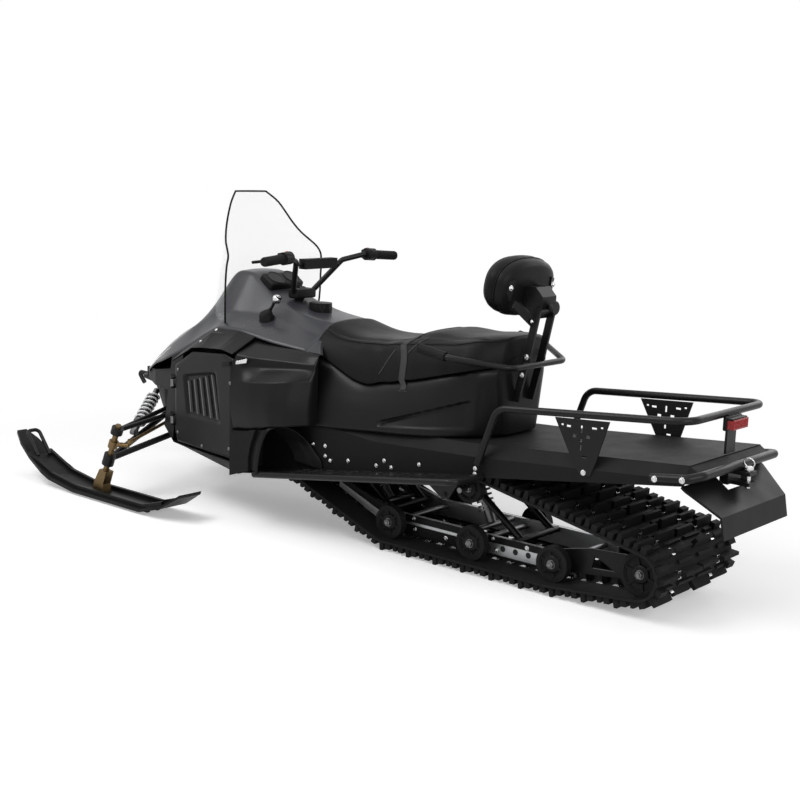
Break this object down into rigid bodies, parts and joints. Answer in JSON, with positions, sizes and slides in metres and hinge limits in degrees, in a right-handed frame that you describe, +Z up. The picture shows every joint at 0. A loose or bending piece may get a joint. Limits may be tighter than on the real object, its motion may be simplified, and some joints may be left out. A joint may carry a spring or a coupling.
{
  "type": "snowmobile",
  "caption": "Utility snowmobile with a long lugged track, steered skis, clear windshield, stepped seat with backrest, tube cargo rack and rear hitch.",
  "frame": {"origin": "bottom centre of the outer box, on the ground under the middle of the machine", "axes": "+X forward, +Y to the rider's left, +Z up"},
  "size_m": [3.268, 1.17, 1.282],
  "materials": {
    "track": "moulded rubber",
    "skid_wheels": "rubber rim on moulded hub",
    "skid_axles": "plain",
    "drive_axle": "moulded sprockets on a steel shaft",
    "slide_rails": "mill finish",
    "rear_rail_plates": "black satin",
    "skid_arms": "black satin",
    "skid_shocks": "black spring on steel body",
    "tunnel": "black fine texture",
    "running_boards": "black satin",
    "footwell_guards": "grained",
    "belly_pan": "grained",
    "engine": "cast",
    "nose_frame": "grained",
    "hood": "dark slate grey paint",
    "fuel_cap": "ribbed",
    "cowl_bands": "grained",
    "knee_panels": "grained",
    "side_panel_left": "grained",
    "side_panel_right": "grained",
    "windshield": "clear polycarbonate",
    "seat": "black vinyl",
    "seat_base": "satin",
    "grab_rail": "black satin",
    "rail_grips": "ribbed",
    "backrest_post": "black satin",
    "backrest_pad": "black vinyl",
    "rear_rack": "black satin",
    "rack_plates": "black satin",
    "tail_lamp": "red lens",
    "rear_bumper": "black satin",
    "hitch": "black satin",
    "snow_flap": "moulded",
    "headlamps": "clear lens",
    "shift_lever": "black boot with bright knob",
    "front_bumper": "black satin",
    "upper_arms": "black satin",
    "lower_arms": "black satin",
    "front_shocks": "bright spring on black body",
    "ski_left": "moulded",
    "ski_right": "moulded",
    "spindle_left": "zinc yellow plate",
    "spindle_right": "zinc yellow plate",
    "ski_loop_left": "black satin",
    "ski_loop_right": "black satin",
    "tie_rod_left": "zinc yellow plate",
    "tie_rod_right": "zinc yellow plate",
    "handlebar": "black satin",
    "bar_grips": "ribbed",
    "bar_controls": "moulded",
    "bar_pad": "foam with cover"
  },
  "bodies": {
    "chassis": {"track": "track", "skid_wheels": "skid_wheels", "skid_axles": "skid_axles", "drive_axle": "drive_axle", "slide_rails": "slide_rails", "rear_rail_plates": "rear_rail_plates", "skid_arms": "skid_arms", "skid_shocks": "skid_shocks", "tunnel": "tunnel", "running_boards": "running_boards", "footwell_guards": "footwell_guards", "belly_pan": "belly_pan", "engine": "engine", "nose_frame": "nose_frame", "hood": "hood", "fuel_cap": "fuel_cap", "cowl_bands": "cowl_bands", "knee_panels": "knee_panels", "windshield": "windshield", "seat": "seat", "seat_base": "seat_base", "grab_rail": "grab_rail", "rail_grips": "rail_grips", "backrest_post": "backrest_post", "backrest_pad": "backrest_pad", "rear_rack": "rear_rack", "rack_plates": "rack_plates", "tail_lamp": "tail_lamp", "rear_bumper": "rear_bumper", "hitch": "hitch", "snow_flap": "snow_flap", "headlamps": "headlamps", "shift_lever": "shift_lever", "front_bumper": "front_bumper", "upper_arms": "upper_arms", "lower_arms": "lower_arms", "front_shocks": "front_shocks"},
    "bars": {"handlebar": "handlebar", "bar_grips": "bar_grips", "bar_controls": "bar_controls", "bar_pad": "bar_pad"},
    "ski_left": {"ski_left": "ski_left", "spindle_left": "spindle_left", "ski_loop_left": "ski_loop_left"},
    "ski_right": {"ski_right": "ski_right", "spindle_right": "spindle_right", "ski_loop_right": "ski_loop_right"},
    "tie_rod_left": {"tie_rod_left": "tie_rod_left"},
    "tie_rod_right": {"tie_rod_right": "tie_rod_right"},
    "panel_left": {"side_panel_left": "side_panel_left"},
    "panel_right": {"side_panel_right": "side_panel_right"}
  },
  "joints": [
    {"name": "steer", "type": "hinge", "parent": "chassis", "child": "bars", "pos_m": [0.41, 0, 0.878], "axis": [-0.5736, 0, 0.8192], "range_deg": [-32, 32]},
    {"name": "ski_steer_left", "type": "hinge", "parent": "chassis", "child": "ski_left", "pos_m": [1.035, 0.51, 0.1], "axis": [-0.3907, 0, 0.9205], "range_deg": [-28.8, 28.8]},
    {"name": "tie_rod_left", "type": "hinge", "parent": "ski_left", "child": "tie_rod_left", "pos_m": [0.91527, 0.478, 0.236], "axis": [-0.3907, 0, 0.9205], "range_deg": [-28.8, 28.8]},
    {"name": "side_panel_left", "type": "hinge", "parent": "chassis", "child": "panel_left", "pos_m": [0.8, 0.345, 0.45], "axis": [0, 0, -1], "range_deg": [0, 70]},
    {"name": "ski_steer_right", "type": "hinge", "parent": "chassis", "child": "ski_right", "pos_m": [1.035, -0.51, 0.1], "axis": [-0.3907, 0, 0.9205], "range_deg": [-28.8, 28.8]},
    {"name": "tie_rod_right", "type": "hinge", "parent": "ski_right", "child": "tie_rod_right", "pos_m": [0.91527, -0.478, 0.236], "axis": [-0.3907, 0, 0.9205], "range_deg": [-28.8, 28.8]},
    {"name": "side_panel_right", "type": "hinge", "parent": "chassis", "child": "panel_right", "pos_m": [0.8, -0.345, 0.45], "axis": [0, 0, 1], "range_deg": [0, 70]}
  ],
  "couplings": [
    {"joint": "ski_steer_left", "follows": "steer", "ratio": 0.9},
    {"joint": "tie_rod_left", "follows": "steer", "ratio": -0.9},
    {"joint": "ski_steer_right", "follows": "steer", "ratio": 0.9},
    {"joint": "tie_rod_right", "follows": "steer", "ratio": -0.9}
  ]
}
